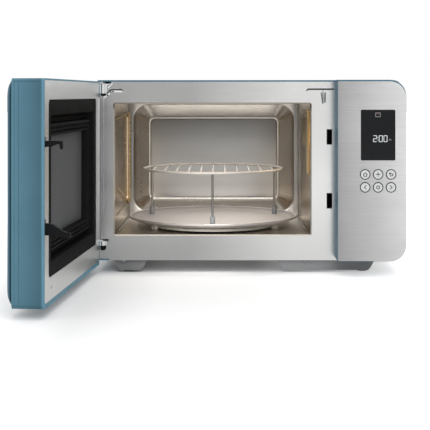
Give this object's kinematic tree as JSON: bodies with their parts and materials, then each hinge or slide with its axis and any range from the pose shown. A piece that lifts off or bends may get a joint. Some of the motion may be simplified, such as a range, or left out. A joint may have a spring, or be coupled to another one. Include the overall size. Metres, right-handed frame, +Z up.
{
  "type": "microwave oven",
  "caption": "Countertop microwave oven with a side-hung door standing open, stainless front and cavity, turntable tray, wire rack and a push-button panel.",
  "frame": {"origin": "centre of the front left foot's sole", "axes": "+Z up, -Y towards the user, +X towards the control panel"},
  "size_m": [0.552, 0.714, 0.3035],
  "materials": {
    "cabinet_paint": "grey-blue metallic paint, satin",
    "door_paint": "grey-blue metallic paint, satin",
    "frame_stainless": "stainless steel, fine vertical brushing",
    "fascia_stainless": "stainless steel, fine horizontal brushing",
    "door_stainless": "stainless steel, fine brushing",
    "cavity_stainless": "stainless steel, soft satin brushing",
    "zinc_sheet": "zinc-plated steel sheet",
    "base_sheet": "dark grey coated steel",
    "black_plastic": "black moulded plastic, fine texture",
    "foot_rubber": "black rubber",
    "mica": "mica sheet",
    "core_steel": "varnished electrical steel laminations",
    "copper_winding": "enamelled copper wire",
    "capacitor_can": "aluminium can",
    "motor_iron": "steel laminations with a copper coil",
    "fan_plastic": "white moulded plastic",
    "quartz_tube": "frosted quartz with ceramic ends",
    "lamp_ceramic": "ceramic",
    "lamp_glass": "clear bulb glass",
    "duct_reflector": "bright reflector sheet",
    "switch_plastic": "moulded plastic",
    "display_glass": "dark tinted window",
    "circuit_board": "circuit board with components",
    "filter_board": "circuit board with choke and fuse",
    "pin_steel": "zinc-plated steel",
    "mesh_steel": "perforated steel, dark enamel",
    "door_glass_tint": "tinted safety glass",
    "tray_enamel": "satin grey enamel",
    "rack_chrome": "chromed steel wire",
    "sleeve_silicone": "grey silicone",
    "ring_plastic": "off-white heat-proof plastic",
    "roller_plastic": "off-white heat-proof plastic",
    "button_cap": "silver-painted plastic"
  },
  "bodies": {
    "cabinet": {"outer_cover": "cabinet_paint", "rear_panel": "zinc_sheet", "base_plate": "base_sheet", "front_frame": "frame_stainless", "cavity_left_wall": "cavity_stainless", "cavity_right_wall": "cavity_stainless", "cavity_roof": "cavity_stainless", "cavity_floor": "cavity_stainless", "cavity_back": "cavity_stainless", "waveguide": "zinc_sheet", "waveguide_cover": "mica", "magnetron": "zinc_sheet", "transformer_core": "core_steel", "transformer_windings": "copper_winding", "hv_capacitor": "capacitor_can", "fan_shroud": "black_plastic", "fan_motor": "motor_iron", "grill_reflector": "zinc_sheet", "grill_elements": "quartz_tube", "lamp_holder": "lamp_ceramic", "lamp_bulb": "lamp_glass", "turntable_motor": "zinc_sheet", "latch_housing": "black_plastic", "interlock_switches": "switch_plastic", "hinge_bracket_top": "zinc_sheet", "hinge_bracket_bottom": "zinc_sheet", "control_housing": "cabinet_paint", "fascia_plate": "fascia_stainless", "display_window": "display_glass", "control_board": "circuit_board", "feet": "foot_rubber", "cover_screws": "pin_steel", "cord_gland": "black_plastic", "noise_filter": "filter_board", "lamp_duct": "duct_reflector"},
    "door": {"door_skin": "door_paint", "door_frame": "door_paint", "door_inner_plate": "door_stainless", "door_choke_frame": "black_plastic", "door_mesh_screen": "mesh_steel", "door_glass": "door_glass_tint", "door_hinge_pins": "pin_steel", "latch_spring": "pin_steel"},
    "latch": {"latch_lever": "black_plastic"},
    "coupler": {"drive_coupler": "ring_plastic"},
    "tray": {"turntable_tray": "tray_enamel"},
    "rack": {"rack_grid": "rack_chrome", "rack_legs": "rack_chrome", "rack_feet": "sleeve_silicone"},
    "ring": {"roller_ring": "ring_plastic"},
    "roller_a": {"roller_wheel_a": "roller_plastic"},
    "roller_b": {"roller_wheel_b": "roller_plastic"},
    "roller_c": {"roller_wheel_c": "roller_plastic"},
    "fan": {"fan_blade": "fan_plastic"},
    "key_home": {"button_home": "button_cap"},
    "key_plus": {"button_plus": "button_cap"},
    "key_back": {"button_back": "button_cap"},
    "key_less": {"button_less": "button_cap"},
    "key_round": {"button_round": "button_cap"},
    "key_more": {"button_more": "button_cap"}
  },
  "joints": [
    {"name": "door_hinge", "type": "hinge", "parent": "cabinet", "child": "door", "pos_m": [-0.039, -0.026, 0.1575], "axis": [0, 0, 1], "range_deg": [0, 94.5]},
    {"name": "latch_slide", "type": "slide", "parent": "door", "child": "latch", "axis": [0, 0, 1], "range_m": [0, 0.0026], "stiffness_N_per_m": 400, "springref_m": -0.003, "deforming": ["latch_spring"]},
    {"name": "turntable_spin", "type": "hinge", "parent": "cabinet", "child": "coupler", "pos_m": [0.1335, 0.12, 0.06], "axis": [0, 0, 1], "continuous": true},
    {"name": "tray_lift", "type": "slide", "parent": "coupler", "child": "tray", "axis": [0, 0, 1], "range_m": [0, 0.02]},
    {"name": "rack_lift", "type": "slide", "parent": "tray", "child": "rack", "axis": [0, 0, 1], "range_m": [0, 0.05]},
    {"name": "roller_ring_spin", "type": "hinge", "parent": "cabinet", "child": "ring", "pos_m": [0.1335, 0.12, 0.06], "axis": [0, 0, 1], "continuous": true},
    {"name": "roller_a_spin", "type": "hinge", "parent": "ring", "child": "roller_a", "pos_m": [0.12628, 0.23477, 0.0613], "axis": [-0.0628, 0.998, 0], "continuous": true},
    {"name": "roller_b_spin", "type": "hinge", "parent": "ring", "child": "roller_b", "pos_m": [0.03771, 0.05636, 0.0613], "axis": [-0.8329, -0.5534, 0], "continuous": true},
    {"name": "roller_c_spin", "type": "hinge", "parent": "ring", "child": "roller_c", "pos_m": [0.23651, 0.06887, 0.0613], "axis": [0.8957, -0.4446, 0], "continuous": true},
    {"name": "fan_spin", "type": "hinge", "parent": "cabinet", "child": "fan", "pos_m": [0.3628, 0.289, 0.17], "axis": [0, 1, 0], "continuous": true},
    {"name": "press_home", "type": "slide", "parent": "cabinet", "child": "key_home", "axis": [0, 1, 0], "range_m": [0, 0.0008], "stiffness_N_per_m": 600, "springref_m": -0.0005},
    {"name": "press_plus", "type": "slide", "parent": "cabinet", "child": "key_plus", "axis": [0, 1, 0], "range_m": [0, 0.0008], "stiffness_N_per_m": 600, "springref_m": -0.0005},
    {"name": "press_back", "type": "slide", "parent": "cabinet", "child": "key_back", "axis": [0, 1, 0], "range_m": [0, 0.0008], "stiffness_N_per_m": 600, "springref_m": -0.0005},
    {"name": "press_less", "type": "slide", "parent": "cabinet", "child": "key_less", "axis": [0, 1, 0], "range_m": [0, 0.0008], "stiffness_N_per_m": 600, "springref_m": -0.0005},
    {"name": "press_round", "type": "slide", "parent": "cabinet", "child": "key_round", "axis": [0, 1, 0], "range_m": [0, 0.0008], "stiffness_N_per_m": 600, "springref_m": -0.0005},
    {"name": "press_more", "type": "slide", "parent": "cabinet", "child": "key_more", "axis": [0, 1, 0], "range_m": [0, 0.0008], "stiffness_N_per_m": 600, "springref_m": -0.0005}
  ],
  "couplings": [
    {"joint": "roller_ring_spin", "follows": "turntable_spin", "ratio": 0.5},
    {"joint": "roller_a_spin", "follows": "turntable_spin", "ratio": -11.5},
    {"joint": "roller_b_spin", "follows": "turntable_spin", "ratio": -11.5},
    {"joint": "roller_c_spin", "follows": "turntable_spin", "ratio": -11.5}
  ]
}
